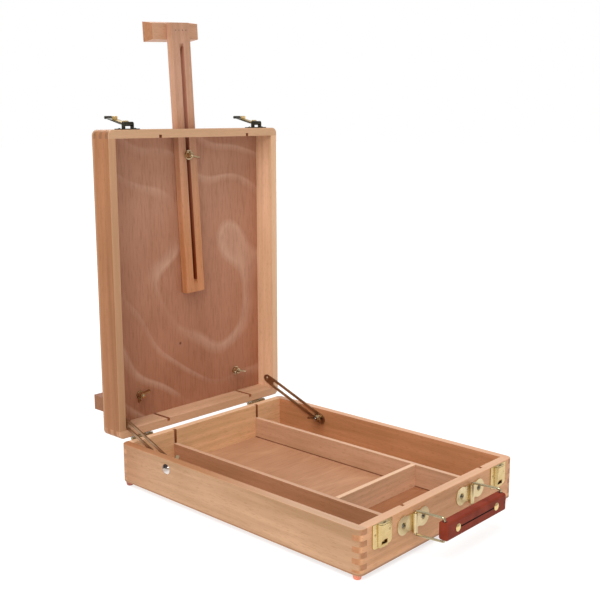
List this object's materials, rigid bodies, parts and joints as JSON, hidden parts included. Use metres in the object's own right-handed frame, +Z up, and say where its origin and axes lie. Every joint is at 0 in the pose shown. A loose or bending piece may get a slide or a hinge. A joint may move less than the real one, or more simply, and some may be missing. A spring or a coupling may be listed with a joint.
{
  "type": "wooden artist easel",
  "caption": "Table-top wooden sketch-box easel: a divided box with a hinged upright lid, folding stays, a sliding mast with canvas clamp, a canvas ledge, latches and a swinging handle.",
  "frame": {"origin": "centre of the footprint, on the surface the rubber feet stand on", "axes": "+Z up, +Y from the handle towards the lid's hinges, +X to the right seen from the handle"},
  "size_m": [0.2756, 0.4528, 0.5421],
  "materials": {
    "beech": "satin",
    "plywood": "satin",
    "brass_plate": "polished",
    "antique_brass": "satin",
    "steel": "polished",
    "wire": "satin",
    "grip": "satin",
    "rubber": "matte"
  },
  "bodies": {
    "base": {"base_wall_left": "beech", "base_wall_right": "beech", "base_wall_front": "beech", "base_wall_back": "beech", "base_bottom_panel": "plywood", "divider_left": "beech", "divider_right": "beech", "divider_cross": "beech", "rubber_feet": "rubber", "stay_bolts": "steel", "stay_washers": "antique_brass", "keeper_left": "brass_plate", "keeper_right": "brass_plate", "keeper_screws": "brass_plate", "handle_bracket_left": "brass_plate", "handle_bracket_right": "brass_plate", "bracket_screws": "brass_plate", "hinge_leaf_base_left": "antique_brass", "hinge_leaf_base_right": "antique_brass", "hinge_screws_base": "antique_brass", "hinge_pins": "steel"},
    "lid": {"lid_wall_left": "beech", "lid_wall_right": "beech", "lid_wall_hinge_end": "beech", "lid_wall_free_end": "beech", "lid_panel": "plywood", "hinge_leaf_lid_left": "antique_brass", "hinge_leaf_lid_right": "antique_brass", "hinge_screws_lid": "antique_brass", "latch_plate_left": "antique_brass", "latch_plate_right": "antique_brass", "latch_screws": "antique_brass", "latch_pins": "steel", "canvas_ledge": "beech", "ledge_bolts": "antique_brass", "ledge_washers": "antique_brass", "mast_bolt": "antique_brass", "mast_washer": "antique_brass"},
    "mast": {"mast_bar": "beech", "canvas_clamp": "beech", "mast_brads": "steel"},
    "bail_left": {"handle_bail_left": "wire"},
    "bail_right": {"handle_bail_right": "wire"},
    "grip": {"handle_grip": "grip", "grip_rivets": "brass_plate"},
    "latch_left": {"latch_lever_left": "antique_brass", "latch_hook_left": "antique_brass"},
    "latch_right": {"latch_lever_right": "antique_brass", "latch_hook_right": "antique_brass"},
    "stay_left": {"stay_left": "antique_brass", "stay_pivot_left": "antique_brass"},
    "stay_right": {"stay_right": "antique_brass", "stay_pivot_right": "antique_brass"},
    "stay_nut_left": {"stay_wing_nut_left": "antique_brass"},
    "stay_nut_right": {"stay_wing_nut_right": "antique_brass"},
    "mast_nut": {"mast_wing_nut": "antique_brass"},
    "ledge_nut_left": {"ledge_wing_nut_left": "antique_brass"},
    "ledge_nut_right": {"ledge_wing_nut_right": "antique_brass"}
  },
  "joints": [
    {"name": "lid_hinge", "type": "hinge", "parent": "base", "child": "lid", "pos_m": [0, 0.17615, 0.05175], "axis": [1, 0, 0], "range_deg": [0, 90]},
    {"name": "mast_slide", "type": "slide", "parent": "lid", "child": "mast", "axis": [-0.048, 0, 0.9988], "range_m": [-0.101, 0.146]},
    {"name": "handle_swing", "type": "hinge", "parent": "base", "child": "bail_left", "pos_m": [-0.053, -0.18855, 0.0343], "axis": [0, 0, 1], "range_deg": [-80, 63]},
    {"name": "handle_swing_right", "type": "hinge", "parent": "base", "child": "bail_right", "pos_m": [0.0482, -0.18855, 0.0343], "axis": [0, 0, 1], "range_deg": [-80.5, 63.5]},
    {"name": "grip_pivot", "type": "hinge", "parent": "bail_left", "child": "grip", "pos_m": [-0.04836, -0.2196, 0.0343], "axis": [0, 0, 1], "range_deg": [-63.5, 80.5]},
    {"name": "latch_left_lever", "type": "hinge", "parent": "lid", "child": "latch_left", "pos_m": [-0.103, 0.1818, 0.41995], "axis": [1, 0, 0], "range_deg": [0, 170]},
    {"name": "latch_right_lever", "type": "hinge", "parent": "lid", "child": "latch_right", "pos_m": [0.103, 0.1818, 0.41995], "axis": [1, 0, 0], "range_deg": [0, 170]},
    {"name": "stay_left_slide", "type": "slide", "parent": "base", "child": "stay_left", "axis": [0, -0.9345, -0.3559], "range_m": [0, 0.0376]},
    {"name": "stay_right_slide", "type": "slide", "parent": "base", "child": "stay_right", "axis": [0, -0.9345, -0.3559], "range_m": [0, 0.0376]},
    {"name": "stay_nut_left_turn", "type": "hinge", "parent": "base", "child": "stay_nut_left", "pos_m": [-0.118, 0.09215, 0.03982], "axis": [1, 0, 0], "continuous": true},
    {"name": "stay_nut_right_turn", "type": "hinge", "parent": "base", "child": "stay_nut_right", "pos_m": [0.118, 0.09215, 0.03982], "axis": [-1, 0, 0], "continuous": true},
    {"name": "mast_nut_turn", "type": "hinge", "parent": "lid", "child": "mast_nut", "pos_m": [-0.003, 0.1884, 0.38225], "axis": [0, -1, 0], "continuous": true},
    {"name": "ledge_nut_left_turn", "type": "hinge", "parent": "lid", "child": "ledge_nut_left", "pos_m": [-0.081, 0.2004, 0.09225], "axis": [0, -1, 0], "continuous": true},
    {"name": "ledge_nut_right_turn", "type": "hinge", "parent": "lid", "child": "ledge_nut_right", "pos_m": [0.081, 0.2004, 0.09225], "axis": [0, -1, 0], "continuous": true}
  ],
  "couplings": [
    {"joint": "handle_swing_right", "follows": "handle_swing", "ratio": 1},
    {"joint": "grip_pivot", "follows": "handle_swing", "ratio": -1},
    {"joint": "stay_left_slide", "follows": "lid_hinge", "m_per_rad": 0.023877},
    {"joint": "stay_right_slide", "follows": "lid_hinge", "m_per_rad": 0.023877}
  ]
}
